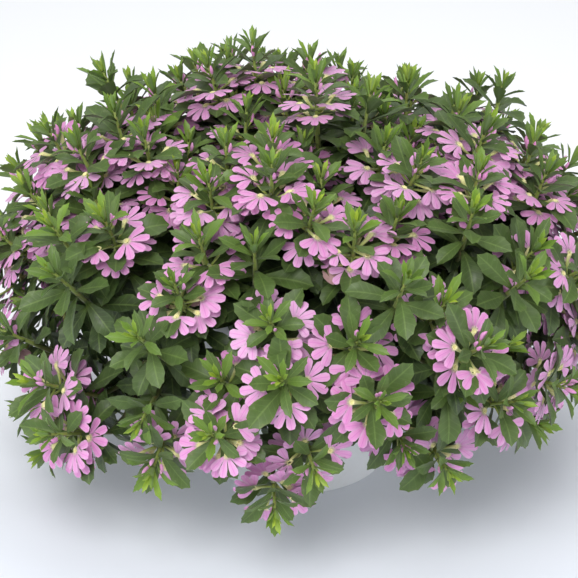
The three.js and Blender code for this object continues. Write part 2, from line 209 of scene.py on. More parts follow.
def plan_stems():
    """The CAD model's stems: the inner ones fork into six shoots and the outer ones into three."""
    heads = {name: heads_of(tier) for name, tier in TIERS.items()}
    stems = []
    for i in range(INNER_STEMS):
        own = [heads["top"][i], heads["upper"][i], *heads["shoulder"][2 * i : 2 * i + 2]]
        own += [heads["crest"][i], heads["brow"][i]]
        stems.append(stem_for(own, INNER_ROOT_RADIUS, INNER_FORK))
    for i in range(OUTER_STEMS):
        own = [heads["side"][i], heads["skirt"][i], heads["fringe"][i]]
        stems.append(stem_for(own, OUTER_ROOT_RADIUS, OUTER_FORK))
    return stems


def side_head(head, others, key):
    """A head beside another, in the direction that leaves it furthest from all the others."""
    best = None
    for i in range(SIDE_BEARINGS):
        outward = round_axis(head["axis"], 2 * math.pi * (i + draw(key, 71)) / SIDE_BEARINGS)
        reach = SIDE_REACH + wander(key, 72, 6)
        drop = SIDE_DROP + wander(key, 73, 8) - (SIDE_TALL_RISE if draw(key, 74) < SIDE_TALL_SHARE else 0)
        centre = head["centre"] + outward * reach - head["axis"] * drop
        room = min((centre - other["centre"]).length for other in others if other is not head)
        if head["axis"].z < LOW_AXIS:
            room += centre.z - head["centre"].z
        if best is None or room > best["room"]:
            axis = (head["axis"] + outward * math.tan(math.radians(SIDE_LEAN))).normalized()
            best = dict(centre=centre, axis=axis, room=room)
    points = points_along(head)
    fork = min(points, key=lambda point: abs((point - head["centre"]).length - SIDE_FORK))
    leafy = best["centre"] - best["axis"] * LEAFY_LENGTH
    middle = fork.lerp(leafy, 0.5) + (best["centre"] - head["centre"]) * 0.15
    best["route"] = [fork, middle, leafy, best["centre"]]
    return best


def plan_side_shoots(stems):
    """The side shoots of each stem: one beside every head, and a second one beside some."""
    taken = [head for stem in stems for head in stem["heads"]]
    for stem in stems:
        stem["side"] = []
        for head in stem["heads"]:
            key = 100 + len(taken)
            count = 2 if draw(key, 70) < SECOND_SHARE else 1
            for n in range(count):
                side = side_head(head, taken, key + 500 * n)
                taken.append(side)
                stem["side"].append(side)


def curve_through(route):
    """A centripetal Catmull-Rom curve through a route: the function gives its point for t from 0 to 1."""
    ends = [route[0] * 2 - route[1], *route, route[-1] * 2 - route[-2]]

    def point(t):
        place = t * (len(route) - 1)
        span = min(int(place), len(route) - 2)
        w = place - span
        a, b, c, d = ends[span : span + 4]
        ab, bc, cd = ((q - p).length_squared ** 0.25 for p, q in ((a, b), (b, c), (c, d)))
        bc = bc if bc > 1e-4 else 1.0
        ab = ab if ab > 1e-4 else bc
        cd = cd if cd > 1e-4 else bc
        leave = ((b - a) / ab - (c - a) / (ab + bc) + (c - b) / bc) * bc
        arrive = ((c - b) / bc - (d - b) / (bc + cd) + (d - c) / cd) * bc
        return (
            b
            + leave * w
            + (b * -3 + c * 3 - leave * 2 - arrive) * w * w
            + (b * 2 - c * 2 + leave + arrive) * w * w * w
        )

    return point


def points_along(head):
    """Points of a shoot from its foot to the tip of its stem, close enough to look smooth."""
    route = head["route"]
    curve = curve_through(route)
    spans = len(route) - 1
    points = []
    for span in range(spans - 1):
        steps = max(1, round((route[span + 1] - route[span]).length / STEM_STEP))
        points += [curve((span + step / steps) / spans) for step in range(steps)]
    straight = [-LEAFY_LENGTH, -24, -12, 0, 9, SHOOT_RISE]
    return points + [head["centre"] + head["axis"] * height for height in straight]


def show(obj):
    bpy.context.scene.collection.objects.link(obj)


# Materials

SMOOTH = dict(interpolation_type="SMOOTHSTEP")


def linear(hex_colour):
    """An sRGB hex colour as linear RGBA."""
    channels = [int(hex_colour[i : i + 2], 16) / 255 for i in (1, 3, 5)]
    return [c / 12.92 if c <= 0.04045 else ((c + 0.055) / 1.055) ** 2.4 for c in channels] + [1.0]


def fill(tree, node, inputs):
    """Gives a node its inputs, by name or in their order. Each is a value, an output or a whole node, of
    which the first output in use is linked."""
    for key, value in inputs.items() if isinstance(inputs, dict) else enumerate(inputs):
        if isinstance(value, bpy.types.Node):
            value = next(output for output in value.outputs if output.enabled)
        if isinstance(value, bpy.types.NodeSocket):
            tree.links.new(value, node.inputs[key])
        else:
            node.inputs[key].default_value = value


def add(tree, kind, inputs=(), **settings):
    """A new node of that kind with its settings and its inputs."""
    node = tree.nodes.new(kind)
    for name, value in settings.items():
        setattr(node, name, value)
    fill(tree, node, inputs)
    return node


def painted(tree, base, layers):
    """A base colour under layers of others. The share of a layer is an output, or a smooth step of one:
    (output, from, to, share at the first, share at the second)."""
    colour = linear(base)
    for share, over in layers:
        if isinstance(share, tuple):
            share = add(tree, "ShaderNodeMapRange", share, **SMOOTH)
        inputs = {"Factor": share, "A": colour, "B": linear(over)}
        colour = add(tree, "ShaderNodeMix", inputs, data_type="RGBA")
    return colour


def start_material(name):
    """A new material, its tree, its shader and the coordinates of the object."""
    material = bpy.data.materials.new(name)
    material.use_nodes = True
    tree = material.node_tree
    place = add(tree, "ShaderNodeTexCoord").outputs["Object"]
    return material, tree, tree.nodes["Principled BSDF"], place


def wide(size_mm):
    """The Scale of a texture on Object coordinates whose cells are this wide."""
    return 1 / (size_mm * MM)


def leaf_material():
    """Living leaf blade, thin and slightly fleshy: a waxy skin that mirrors a bright sky softly as a grey
    bloom, light coming through the young blades, a paler rib and faint side veins."""
    material, tree, shader, place = start_material("fan_flower_leaf")
    tone, along, across, under = (
        add(tree, "ShaderNodeAttribute", attribute_name=name).outputs["Fac"]
        for name in ("tone", "along", "across", "under")
    )
    across = add(tree, "ShaderNodeMath", (across,), operation="ABSOLUTE")
    # A young leaf is paler at its root, where it is folded round the stem
    by_root = add(tree, "ShaderNodeMapRange", (along, 0.0, 0.35, 1.0, 0.0), **SMOOTH)
    youth = add(tree, "ShaderNodeMapRange", (tone, 0.1, 0.5, 0.6, 0.1), **SMOOTH)
    root = add(tree, "ShaderNodeMath", (by_root, youth), operation="MULTIPLY")
    # Blotches 8 mm wide are the uneven green of one blade
    blotch = add(tree, "ShaderNodeTexNoise", {"Vector": place, "Scale": wide(8)})
    # Side veins leave the rib about every 4 mm of a 32 mm leaf, so 8 pairs a leaf
    slant = add(tree, "ShaderNodeMath", (across, -1.1), operation="MULTIPLY")
    veins = add(tree, "ShaderNodeMath", (along, 8.0, slant), operation="MULTIPLY_ADD")
    veins = add(tree, "ShaderNodeMath", (veins, 0.5), operation="PINGPONG")
    under = add(tree, "ShaderNodeMath", (under, 0.7), operation="MULTIPLY")
    green = painted(tree, "#A0B636", [
        ((tone, 0.0, 0.25, 0.0, 1.0), "#70902C"),
        ((tone, 0.2, 0.5, 0.0, 1.0), "#475C28"),
        ((tone, 0.55, 0.95, 0.0, 1.0), "#29391A"),
        (root, "#A3B548"),
        ((blotch, 0.35, 0.7, 0.0, 0.35), "#567032"),
        ((across, 0.03, 0.12, 0.3, 0.0), "#7F9850"),
        ((veins, 0.0, 0.14, 0.14, 0.0), "#768E50"),
        (under, "#74895F"),
    ])
    # The skin's cells are too fine to show, so its grain is drawn 0.9 mm coarse. The veins lie in grooves
    grain = add(tree, "ShaderNodeTexNoise", {"Vector": place, "Scale": wide(0.9), "Detail": 3.0})
    grooves = add(tree, "ShaderNodeMapRange", (veins, 0.0, 0.14, -0.6, 0.0), **SMOOTH)
    relief = add(tree, "ShaderNodeMath", (grain, 0.5, grooves), operation="MULTIPLY_ADD")
    bump = add(tree, "ShaderNodeBump", {"Strength": 0.5, "Distance": 0.12 * MM, "Height": relief})
    # The wax is worn in patches 5 mm wide
    wax = add(tree, "ShaderNodeTexNoise", {"Vector": place, "Scale": wide(5)})
    fill(tree, shader, {
        "Base Color": green,
        "Roughness": add(tree, "ShaderNodeMapRange", (wax, 0.3, 0.7, 0.42, 0.56), **SMOOTH),
        "Normal": bump,
        "IOR": 1.45,
        "Subsurface Weight": 0.12, "Subsurface Radius": (0.6, 1.0, 0.3), "Subsurface Scale": 1.2 * MM,
        "Sheen Weight": 0.04, "Sheen Roughness": 0.5,
    })
    return material


def stalk_material():
    """Young green stem that turns woody: green at the shoot, reddish brown below, with short fine hairs."""
    material, tree, shader, place = start_material("fan_flower_stalk")
    tone = add(tree, "ShaderNodeAttribute", attribute_name="tone").outputs["Fac"]
    # Flecks of bark 3 mm wide
    fleck = add(tree, "ShaderNodeTexNoise", {"Vector": place, "Scale": wide(3), "Detail": 3.0})
    colour = painted(tree, "#7C8C40", [
        ((tone, 0.15, 0.55, 0.0, 1.0), "#555C30"),
        ((tone, 0.5, 0.95, 0.0, 1.0), "#3E2F23"),
        ((fleck, 0.5, 0.75, 0.0, 0.5), "#8C6A4A"),
    ])
    # Ridges and hairs, drawn 0.8 mm coarse
    hairs = add(tree, "ShaderNodeTexNoise", {"Vector": place, "Scale": wide(0.8), "Detail": 3.0})
    fill(tree, shader, {
        "Base Color": colour,
        "Roughness": 0.6,
        "Normal": add(tree, "ShaderNodeBump", {"Strength": 0.6, "Distance": 0.25 * MM, "Height": hairs}),
        "IOR": 1.45,
        "Sheen Weight": 0.25, "Sheen Roughness": 0.4,
    })
    return material


def petal_material():
    """Living petal, a thin velvety skin that light comes through: pink-mauve with a deeper middle line,
    paler wings and a cream root."""
    material, tree, shader, place = start_material("fan_flower_petal")
    tone, along, across = (
        add(tree, "ShaderNodeAttribute", attribute_name=name).outputs["Fac"]
        for name in ("tone", "along", "across")
    )
    across = add(tree, "ShaderNodeMath", (across,), operation="ABSOLUTE")
    # Ribs run the length of a petal about 1.1 mm apart, so five across its 5.8 mm
    ribs = add(tree, "ShaderNodeMath", (across, 2.6), operation="MULTIPLY")
    ribs = add(tree, "ShaderNodeMath", (ribs, 0.5), operation="PINGPONG")
    # A faded bloom has a tone above 1 and turns to a papery pinkish brown
    pink = painted(tree, "#D283BA", [
        (tone, "#DCA4CE"),
        ((across, 0.5, 1.0, 0.0, 0.35), "#E0BCDA"),
        ((ribs, 0.0, 0.3, 0.14, 0.0), "#C673BC"),
        ((across, 0.02, 0.2, 0.4, 0.0), "#BC62AE"),
        ((along, 0.02, 0.2, 0.85, 0.0), "#F1E8BE"),
        ((tone, 1.1, 1.6, 0.0, 0.85), "#A98476"),
    ])
    # Crumpled skin, its wrinkles drawn 1.2 mm apart, with the ribs standing out of it
    crumple = add(tree, "ShaderNodeTexNoise", {"Vector": place, "Scale": wide(1.2), "Detail": 3.0})
    raised = add(tree, "ShaderNodeMapRange", (ribs, 0.0, 0.3, 0.5, 0.0), **SMOOTH)
    relief = add(tree, "ShaderNodeMath", (crumple, 0.6, raised), operation="MULTIPLY_ADD")
    fill(tree, shader, {
        "Base Color": pink,
        "Roughness": 0.55,
        "Normal": add(tree, "ShaderNodeBump", {"Strength": 0.5, "Distance": 0.15 * MM, "Height": relief}),
        "IOR": 1.4,
        "Subsurface Weight": 0.25, "Subsurface Radius": (1.0, 0.6, 0.9), "Subsurface Scale": 1.5 * MM,
        "Sheen Weight": 0.2, "Sheen Roughness": 0.5,
    })
    return material


def throat_material():
    """Fleshy flower tube with short hairs: yellow-green at its foot, cream inside its mouth."""
    material, tree, shader, place = start_material("fan_flower_throat")
    along = add(tree, "ShaderNodeAttribute", attribute_name="along").outputs["Fac"]
    # Flecks 1.5 mm wide, and hairs drawn 0.6 mm coarse
    fleck = add(tree, "ShaderNodeTexNoise", {"Vector": place, "Scale": wide(1.5)})
    hairs = add(tree, "ShaderNodeTexNoise", {"Vector": place, "Scale": wide(0.6), "Detail": 3.0})
    colour = painted(tree, "#8FA04A", [
        ((along, 0.2, 0.9, 0.0, 1.0), "#E9E2A6"),
        ((fleck, 0.5, 0.75, 0.0, 0.4), "#A8825A"),
    ])
    fill(tree, shader, {
        "Base Color": colour,
        "Roughness": 0.6,
        "Normal": add(tree, "ShaderNodeBump", {"Strength": 0.6, "Distance": 0.2 * MM, "Height": hairs}),
        "IOR": 1.4,
        "Subsurface Weight": 0.15, "Subsurface Radius": (1.0, 0.8, 0.4), "Subsurface Scale": 1 * MM,
        "Sheen Weight": 0.3, "Sheen Roughness": 0.4,
    })
    return material


def pot_material():
    """Injection-moulded white polypropylene: slightly satin, with a faint moulded grain and dusty marks."""
    material, tree, shader, place = start_material("pot_polypropylene_moulded")
    # Dust and water marks in patches 25 mm wide
    dust = add(tree, "ShaderNodeTexNoise", {"Vector": place, "Scale": wide(25), "Detail": 4.0})
    # The mould's spark-eroded grain, drawn 0.8 mm coarse
    grain = add(tree, "ShaderNodeTexNoise", {"Vector": place, "Scale": wide(0.8), "Detail": 3.0})
    fill(tree, shader, {
        "Base Color": painted(tree, "#EEF0F1", [((dust, 0.5, 0.75, 0.0, 0.35), "#D9D6CE")]),
        "Roughness": 0.42,
        "Normal": add(tree, "ShaderNodeBump", {"Strength": 0.4, "Distance": 0.05 * MM, "Height": grain}),
        "IOR": 1.49,
    })
    return material


def soil_material():
    """Moist peat compost: dark brown fibres and crumbs with paler bits."""
    material, tree, shader, place = start_material("peat_compost")
    # Crumbs 3 mm wide and fibres about 1 mm thick
    crumbs = add(tree, "ShaderNodeTexVoronoi", {"Vector": place, "Scale": wide(3)})
    fibres = add(tree, "ShaderNodeTexNoise", {"Vector": place, "Scale": wide(1), "Detail": 4.0})
    colour = painted(tree, "#1E140E", [
        ((fibres, 0.4, 0.7, 0.0, 1.0), "#4A3424"),
        ((crumbs, 0.1, 0.5, 0.4, 0.0), "#6A4F38"),
    ])
    relief = add(tree, "ShaderNodeMath", (crumbs, fibres), operation="ADD")
    fill(tree, shader, {
        "Base Color": colour,
        "Roughness": 0.9,
        "Normal": add(tree, "ShaderNodeBump", {"Strength": 0.9, "Distance": 1.2 * MM, "Height": relief}),
        "IOR": 1.4,
    })
    return material


# Shapes of one leaf and one bloom


def shape_object(name, verts, faces, attributes, sharp_between=(), accent_from=None):
    """A closed shape with smooth faces, its surface attributes and its sharp rims."""
    mesh = bpy.data.meshes.new(name)
    mesh.from_pydata([Vector(v) for v in verts], [], faces)
    for label, values in attributes.items():
        mesh.attributes.new(label, "FLOAT", "POINT").data.foreach_set("value", values)
    accent = mesh.attributes.new("accent", "BOOLEAN", "FACE")
    first = len(faces) if accent_from is None else accent_from
    accent.data.foreach_set("value", [i >= first for i in range(len(faces))])
    rims = set(sharp_between)
    sharp = mesh.attributes.new("sharp_edge", "BOOLEAN", "EDGE")
    sharp.data.foreach_set("value", [tuple(sorted(e.vertices)) in rims for e in mesh.edges])
    whole = bmesh.new()
    whole.from_mesh(mesh)
    bmesh.ops.recalc_face_normals(whole, faces=whole.faces)
    whole.to_mesh(mesh)
    whole.free()
    mesh.polygons.foreach_set("use_smooth", [True] * len(mesh.polygons))
    return bpy.data.objects.new(name, mesh)


def blade(stations, thickness, place):
    """A closed blade: six points a station (rim, half, rib, half, rim, under the rib) and one at its tip.
    A station: share of the length at the rib, at the rims, half width. place(u, x, lift) gives a point."""
    verts, faces, along, across, under = [], [], [], [], []
    for rib_at, rim_at, half in stations:
        half_at = (rib_at + rim_at) / 2
        row = [(rim_at, -1), (half_at, -0.5), (rib_at, 0), (half_at, 0.5), (rim_at, 1), (rib_at, 0)]
        for k, (u, side) in enumerate(row):
            verts.append(place(u, side * half, -thickness if k == 5 else 0.0))
            along.append(u)
            across.append(side)
            under.append(1.0 if k == 5 else 0.0)
    tip = len(verts)
    verts.append(place(1.0, 0.0, 0.0))
    along.append(1.0)
    across.append(0.0)
    under.append(0.0)
    rows = len(stations)
    rims = set()
    for i in range(rows):
        for k in range(6):
            a, b = 6 * i + k, 6 * i + (k + 1) % 6
            if i == rows - 1:
                faces.append((a, b, tip))
            else:
                faces.append((a, b, b + 6, a + 6))
        for k in (0, 4):
            ahead = 6 * (i + 1) + k if i < rows - 1 else tip
            rims.add((6 * i + k, ahead))
    faces.append(tuple(range(5, -1, -1)))
    return verts, faces, dict(along=along, across=across, under=under), rims


# Stations of the leaves, whose length is 1, from the blunt young ones to those with a toothed tip
LEAF_YOUNG = [(0, 0, 0.04), (0.3, 0.28, 0.08), (0.6, 0.58, 0.115), (0.74, 0.77, 0.115), (0.82, 0.82, 0.07)]
LEAF_SLENDER = [
    (0, 0, 0.035), (0.25, 0.23, 0.075), (0.5, 0.47, 0.13), (0.66, 0.68, 0.155), (0.73, 0.73, 0.12),
    (0.82, 0.85, 0.105), (0.88, 0.88, 0.06),
]
LEAF_GROWN = [
    (0, 0, 0.03), (0.2, 0.18, 0.075), (0.42, 0.4, 0.15), (0.6, 0.6, 0.205), (0.7, 0.73, 0.215),
    (0.77, 0.77, 0.18), (0.86, 0.89, 0.14), (0.92, 0.92, 0.08),
]
LEAF_OLD = [(0, 0, 0.035), (0.25, 0.23, 0.11), (0.55, 0.55, 0.21), (0.74, 0.77, 0.22), (0.88, 0.88, 0.13)]
LEAF_THICKNESS = 0.022


def leaf_shape(name, stations, arch, fold, wave, twist):
    """A leaf 1 long, its rib along +X and its upper side to +Z, bent down by arch radians over its length,
    folded up at its rims by the slope fold, with wavy rims and a twist in radians."""

    def place(u, x, lift):
        bend = arch * u
        reach = math.sin(bend) / arch if arch else u
        drop = (1 - math.cos(bend)) / arch if arch else 0.0
        ripple = wave * math.sin(9 * u + (2 if x > 0 else 0)) * abs(x)
        rise = fold * abs(x) * min(1.0, 0.4 + u) + lift + ripple
        turn = twist * u
        side = x * math.cos(turn) - rise * math.sin(turn)
        rise = x * math.sin(turn) + rise * math.cos(turn)
        return (reach + rise * math.sin(bend), side, -drop + rise * math.cos(bend))

    verts, faces, attributes, rims = blade(stations, LEAF_THICKNESS, place)
    return shape_object(name, verts, faces, attributes, rims)


# Stations of a petal, with half widths in millimetres
PETAL = [(0.04, 0.04, 0.8), (0.3, 0.3, 1.6), (0.58, 0.58, 2.7), (0.8, 0.84, 2.9), (0.94, 0.98, 1.7)]
PETAL_LENGTH = 13.8
PETAL_THICKNESS = 0.45
PETAL_SPREADS = (-75, -38, 0, 38, 75)
# The tube: distance ahead, height and radius of its rings, from its foot to the rim of its mouth and inside
TUBE_RINGS = [
    (-12, -7.6, 0.8), (-8.4, -6, 0.95), (-3.4, -2.9, 1.3), (0, 0.4, 1.9), (0, 0.6, 1.5), (-0.4, -0.9, 0.8),
]
TUBE_SIDES = 7
BUD_RINGS = [(0, 0, 0.7), (2.5, 0.8, 0.9), (5, 2.0, 1.2), (7.5, 3.6, 1.7), (9.5, 5.4, 1.6), (11, 7.2, 0.9)]
BUD_TIP = (11.8, 0, 8.4)
BUD_SIDES = 6


def tube_faces(start, rings, sides, is_open=False):
    """The faces of a tube whose rings of points begin at start, closed at its foot and at its end."""
    faces = []
    for k in range(rings - 1):
        for s in range(sides):
            a, b = start + sides * k + s, start + sides * k + (s + 1) % sides
            faces.append((a, b, b + sides, a + sides))
    faces.append(tuple(start + s for s in reversed(range(sides))))
    if not is_open:
        faces.append(tuple(start + sides * (rings - 1) + s for s in range(sides)))
    return faces


def fan_shape(name, cup, recurve, ruffle, gather):
    """A bloom in millimetres with its throat at the origin: five petals fanned round +X, facing +Z, and the
    tube. cup raises the petals, recurve bends their tips down and gather draws the fan together."""
    verts, faces, rims = [], [], []
    attributes = dict(along=[], across=[], under=[])
    for n, spread in enumerate(PETAL_SPREADS):
        turn = Matrix.Rotation(math.radians(spread * gather), 3, "Z")
        length = PETAL_LENGTH * (1 if n in (1, 2, 3) else 0.94)

        def place(u, x, lift):
            r = 1.2 + length * u
            wing = ruffle * abs(x) * math.sin(7 * u + n + (1.7 if x > 0 else 0))
            z = cup * r - recurve * (u**2) * length + wing - 0.10 * abs(x) + lift
            return tuple(turn @ Vector((r, x, z)))

        points, blade_faces, marks, blade_rims = blade(PETAL, PETAL_THICKNESS, place)
        start = len(verts)
        verts += points
        faces += [tuple(start + i for i in face) for face in blade_faces]
        rims += [(start + i, start + j) for i, j in blade_rims]
        for label in attributes:
            attributes[label] += marks[label]
    petals = len(faces)
    start = len(verts)
    for k, (x, z, radius) in enumerate(TUBE_RINGS):
        tilt = min(k, 3) / 3
        forward = Vector((0.55 * (1 - tilt) + tilt, 0, -0.83 * (1 - tilt)))
        for s in range(TUBE_SIDES):
            angle = 2 * math.pi * s / TUBE_SIDES
            point = Vector((x, 0, z)) + forward * radius * math.cos(angle)
            verts.append(tuple(point + Vector((0, radius * math.sin(angle), 0))))
            attributes["along"].append(min(1.0, k / 4))
            attributes["across"].append(0.0)
            attributes["under"].append(0.0)
    faces += tube_faces(start, len(TUBE_RINGS), TUBE_SIDES)
    return shape_object(name, verts, faces, attributes, rims, accent_from=petals)


def bud_shape(name):
    """A closed bud in millimetres: a bent club of petals, still folded, on its tube."""
    verts, along = [], []
    last = len(BUD_RINGS) - 1
    for k, (x, z, radius) in enumerate(BUD_RINGS):
        for s in range(BUD_SIDES):
            angle = 2 * math.pi * s / BUD_SIDES
            ahead = radius * math.cos(angle)
            verts.append((x - 0.5 * ahead, radius * math.sin(angle), z + 0.85 * ahead))
            along.append(k / last)
    tip = len(verts)
    verts.append(BUD_TIP)
    along.append(1.0)
    faces = tube_faces(0, len(BUD_RINGS), BUD_SIDES, is_open=True)
    for s in range(BUD_SIDES):
        faces.append((last * BUD_SIDES + s, last * BUD_SIDES + (s + 1) % BUD_SIDES, tip))
    # Its lowest rings are the tube, and the others are folded petals
    tube = [face for face in faces if min(face) < 2 * BUD_SIDES]
    petals = [face for face in faces if min(face) >= 2 * BUD_SIDES]
    attributes = dict(along=along, across=[0.6] * len(verts), under=[0.0] * len(verts))
    return shape_object(name, verts, petals + tube, attributes, accent_from=len(petals))


def shape_collection(name, shapes):
    """The shapes that sprouts pick from, in the order of their names, as Collection Info gives them."""
    collection = bpy.data.collections.new(name)
    for shape in shapes:
        collection.objects.link(shape)
    return collection


# Geometry Nodes: a shape grown on every point that is marked as a sprout


def growing_tree():
    """The modifier's nodes: a shape of its own size and turn for every sprout, beside the stalks."""
    tree = bpy.data.node_groups.new("grow_on_sprouts", "GeometryNodeTree")
    kinds = {
        "Geometry": "Geometry", "Shapes": "Collection", "Growth": "Material", "Accent": "Material",
        "Stalk": "Material", "Size Spread": "Float", "Seed": "Int",
    }
    for name, kind in kinds.items():
        tree.interface.new_socket(name, in_out="INPUT", socket_type="NodeSocket" + kind)
    tree.interface.new_socket("Geometry", in_out="OUTPUT", socket_type="NodeSocketGeometry")
    given = add(tree, "NodeGroupInput").outputs
    attributes = dict(sprout="BOOLEAN", turn="QUATERNION", size="FLOAT", variant="INT", accent="BOOLEAN")
    sprout, turn, size, variant, accent = (
        add(tree, "GeometryNodeInputNamedAttribute", {"Name": name}, data_type=kind)
        for name, kind in attributes.items()
    )
    parts = add(tree, "GeometryNodeSeparateGeometry", {"Geometry": given["Geometry"], "Selection": sprout})
    low = add(tree, "ShaderNodeMath", (1.0, given["Size Spread"]), operation="SUBTRACT")
    high = add(tree, "ShaderNodeMath", (1.0, given["Size Spread"]), operation="ADD")
    limits = {"Min": low, "Max": high, "Seed": given["Seed"]}
    spread = add(tree, "FunctionNodeRandomValue", limits, data_type="FLOAT")
    shapes = {"Collection": given["Shapes"], "Separate Children": True, "Reset Children": True}
    grown = add(tree, "GeometryNodeInstanceOnPoints", {
        "Points": parts.outputs["Selection"],
        "Instance": add(tree, "GeometryNodeCollectionInfo", shapes),
        "Pick Instance": True,
        "Instance Index": variant,
        "Rotation": turn,
        "Scale": add(tree, "ShaderNodeMath", (size, spread), operation="MULTIPLY"),
    })
    real = add(tree, "GeometryNodeRealizeInstances", {"Geometry": grown})
    real = add(tree, "GeometryNodeSetMaterial", {"Geometry": real, "Material": given["Growth"]})
    accented = {"Geometry": real, "Selection": accent, "Material": given["Accent"]}
    real = add(tree, "GeometryNodeSetMaterial", accented)
    stalks = {"Geometry": parts.outputs["Inverted"], "Material": given["Stalk"]}
    both = add(tree, "GeometryNodeJoinGeometry")
    for part in (add(tree, "GeometryNodeSetMaterial", stalks), real):
        fill(tree, both, (part,))
    add(tree, "NodeGroupOutput", (both,))
    return tree


class Growth:
    """What one piece is made of before it is grown: stalks, and sprouts that each carry one shape."""

    def __init__(self):
        self.verts, self.faces, self.tones = [], [], []
        self.sprouts = []

    def stalk(self, points, radii, tones):
        """A closed tapering stalk through points."""
        across = Vector((1, 0, 0))
        start = len(self.verts)
        last = len(points) - 1
        for i, point in enumerate(points):
            along = (points[min(i + 1, last)] - points[max(i - 1, 0)]).normalized()
            across = (across - along * across.dot(along)).normalized()
            other = along.cross(across)
            for s in range(STEM_SIDES):
                angle = 2 * math.pi * s / STEM_SIDES
                rim = point + across * radii[i] * math.cos(angle)
                self.verts.append((rim + other * radii[i] * math.sin(angle)) * MM)
                self.tones.append(tones[i])
        self.faces += tube_faces(start, len(points), STEM_SIDES)

    def sprout(self, place, forward, face, size_mm, tone, variant):
        """A shape at place whose +X looks forward and whose +Z looks as nearly as it can to face."""
        ahead = forward.normalized()
        side = face.cross(ahead).normalized()
        up = ahead.cross(side)
        turn = Matrix((ahead, side, up)).transposed().to_quaternion()
        self.sprouts.append((place * MM, turn, size_mm * MM, tone, variant))

    def grow(self, name, shapes, materials, seed):
        """The plain mesh object that the modifier makes of the stalks and the sprouts."""
        fixed = len(self.verts)
        places, turns, sizes, tones, variants = (list(column) for column in zip(*self.sprouts))
        mesh = bpy.data.meshes.new(name + "_sprouts")
        mesh.from_pydata(self.verts + places, [], self.faces)
        columns = {
            "sprout": ("BOOLEAN", [False] * fixed + [True] * len(places)),
            "turn": ("QUATERNION", [*Quaternion()] * fixed + [part for turn in turns for part in turn]),
            "size": ("FLOAT", [1.0] * fixed + sizes),
            "tone": ("FLOAT", self.tones + tones),
            "variant": ("INT", [0] * fixed + variants),
        }
        for label, (kind, values) in columns.items():
            mesh.attributes.new(label, kind, "POINT").data.foreach_set("value", values)
        mesh.polygons.foreach_set("use_smooth", [True] * len(mesh.polygons))
        grower = bpy.data.objects.new(name + "_grower", mesh)
        show(grower)
        modifier = grower.modifiers.new("grow", "NODES")
        modifier.node_group = GROWING
        given = dict(zip(("Growth", "Accent", "Stalk"), materials))
        given |= {"Shapes": shapes, "Size Spread": SIZE_SPREAD, "Seed": seed}
        for socket in GROWING.interface.items_tree:
            if socket.in_out == "INPUT" and socket.name in given:
                modifier[socket.identifier] = given[socket.name]
        sight = bpy.context.evaluated_depsgraph_get()
        made = bpy.data.meshes.new_from_object(
            grower.evaluated_get(sight), preserve_all_data_layers=True, depsgraph=sight
        )
        made.name = name
        for label in ("sprout", "turn", "size", "variant", "accent"):
            made.attributes.remove(made.attributes[label])
        piece = bpy.data.objects.new(name, made)
        show(piece)
        bpy.data.objects.remove(grower)
        bpy.data.meshes.remove(mesh)
        return piece


# One head: its shoot, its leaves and its blooms


def round_axis(axis, angle):
    """A direction square to an axis."""
    across = UP.rotation_difference(axis) @ Vector((1, 0, 0))
    return Quaternion(axis, angle) @ across


def grow_leaf(growth, place, axis, outward, lean, length, tone, variant, roll):
    """A leaf on a stem along axis: its rib leans from it by lean degrees towards outward."""
    tilt = math.radians(lean)
    rib = axis * math.cos(tilt) + outward * math.sin(tilt)
    upper = axis * math.sin(tilt) - outward * math.cos(tilt)
    upper = Quaternion(rib, roll) @ upper
    growth.sprout(place + outward * (STEM_RADIUS * 0.5), rib, upper, length, tone, variant)


def grow_shoot(growth, head):
    """The stem of a head with its spiral of leaves, then the older leaves down its route."""
    points = points_along(head)
    shares = [i / (len(points) - 1) for i in range(len(points))]
    radii = [STEM_RADIUS + FOOT_SWELL * (1 - share) for share in shares[: -len(TIP_RADII)]]
    growth.stalk(points, radii + TIP_RADII, [1 - share for share in shares])
    chance = np.random.default_rng(LEAF_SEED + head["key"])
    start = 2 * math.pi * draw(head["key"], 90)
    grow_spiral(growth, head, chance, start)
    grow_old_leaves(growth, points[:-5][::-1], chance, start)


def grow_spiral(growth, head, chance, start):
    """The leaves of a shoot, from short upright ones at its tip to broad ones that stand square."""
    vigour = chance.uniform(0.9, 1.08)
    shade = chance.uniform(-0.05, 0.1)
    for n in range(SHOOT_LEAVES):
        age = n / (SHOOT_LEAVES - 1)
        height = SHOOT_RISE + (LOWEST_LEAF - SHOOT_RISE) * age**1.5
        lean = 8 + 90 * age**0.85 + chance.uniform(-9, 9)
        length = 10 + 13 * min(1, age / 0.3) if height > 0 else 32
        tone = 0.9 * age**0.75 + shade + chance.uniform(-0.06, 0.06)
        variant = YOUNG if age < 0.26 else SLENDER if age < 0.42 else GROWN
        outward = round_axis(head["axis"], start + GOLDEN_TURN * n + chance.uniform(-0.2, 0.2))
        grow_leaf(
            growth, head["centre"] + head["axis"] * height, head["axis"], outward, lean,
            length * vigour * chance.uniform(0.88, 1.08), min(1.0, max(0.0, tone)),
            int(chance.choice(variant)), chance.uniform(-0.25, 0.25),
        )


def grow_old_leaves(growth, back, chance, start):
    """Older leaves, one about every 7.5 mm, back along the points of a route."""
    travelled, n = 0.0, 0
    for a, b in zip(back, back[1:]):
        span = (b - a).length
        travelled += span
        while n * OLD_LEAF_STEP < travelled and n < OLD_LEAVES:
            share = 1 - (travelled - n * OLD_LEAF_STEP) / span
            axis = (a - b).normalized()
            outward = round_axis(axis, start + GOLDEN_TURN * (n + 40) + chance.uniform(-0.3, 0.3))
            outward = (outward + UP * 0.25).normalized()
            grow_leaf(
                growth, a.lerp(b, share), axis, outward, 82 + chance.uniform(-14, 14),
                33 * chance.uniform(0.8, 1.1), min(1.0, 0.8 + 0.025 * n + chance.uniform(-0.08, 0.08)),
                int(chance.choice(OLD)), chance.uniform(-0.4, 0.4),
            )
            n += 1


